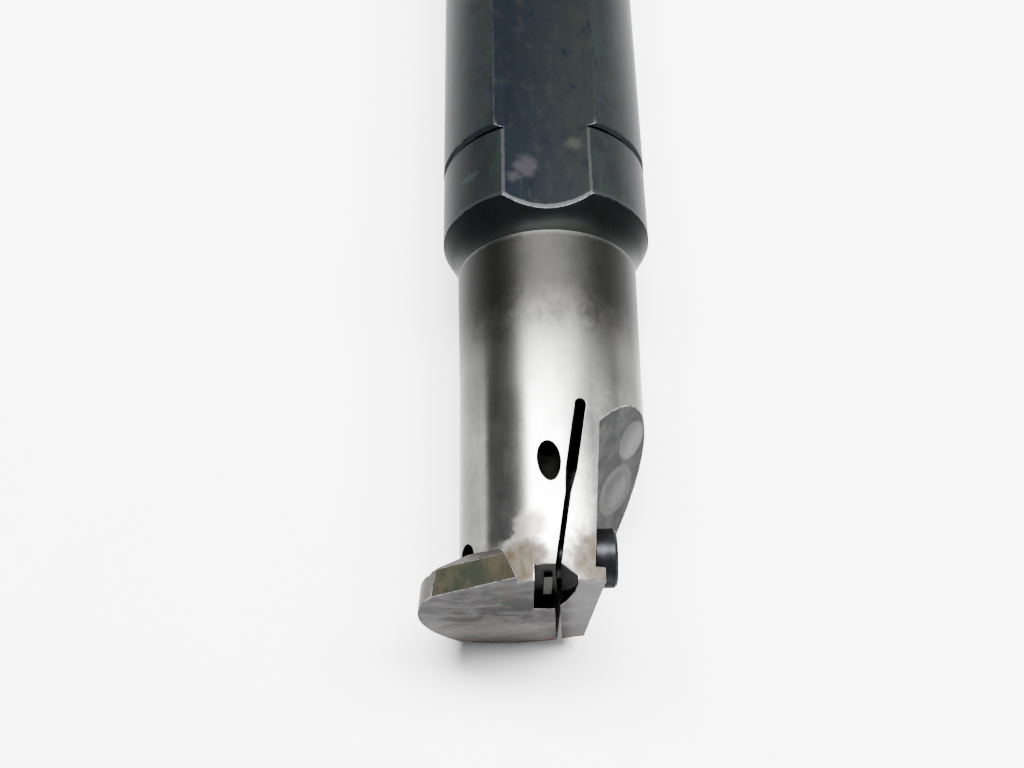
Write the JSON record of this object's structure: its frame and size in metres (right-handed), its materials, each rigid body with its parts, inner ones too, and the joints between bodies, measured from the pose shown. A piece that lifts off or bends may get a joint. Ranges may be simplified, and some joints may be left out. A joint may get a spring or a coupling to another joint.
{
  "type": "indexable boring bar",
  "caption": "Round steel boring bar with a clamping flat on its shank, a slit head with an empty insert seat, a coolant outlet and a clamp screw across the slit.",
  "frame": {"origin": "middle of the clamping flat on the shank, on the bar's vertical middle plane", "axes": "+Z out of the clamping flat, +Y along the bar from the head to the shank's end, +X to the right with the head towards the viewer"},
  "size_m": [0.0273, 0.2, 0.0238],
  "materials": {
    "blackened_steel": "blackened shank and collar with worn edges, bare satin neck, stained ground head",
    "black_oxide_screw": "black oxide alloy steel"
  },
  "bodies": {
    "bar": {"bar_body": "blackened_steel"},
    "screw": {"clamp_screw": "black_oxide_screw"}
  },
  "joints": [
    {"name": "clamp_screw_turn", "type": "hinge", "parent": "bar", "child": "screw", "pos_m": [0.0036, -0.1234, -0.00683], "axis": [1, 0, 0], "range_deg": [0, 360]}
  ]
}
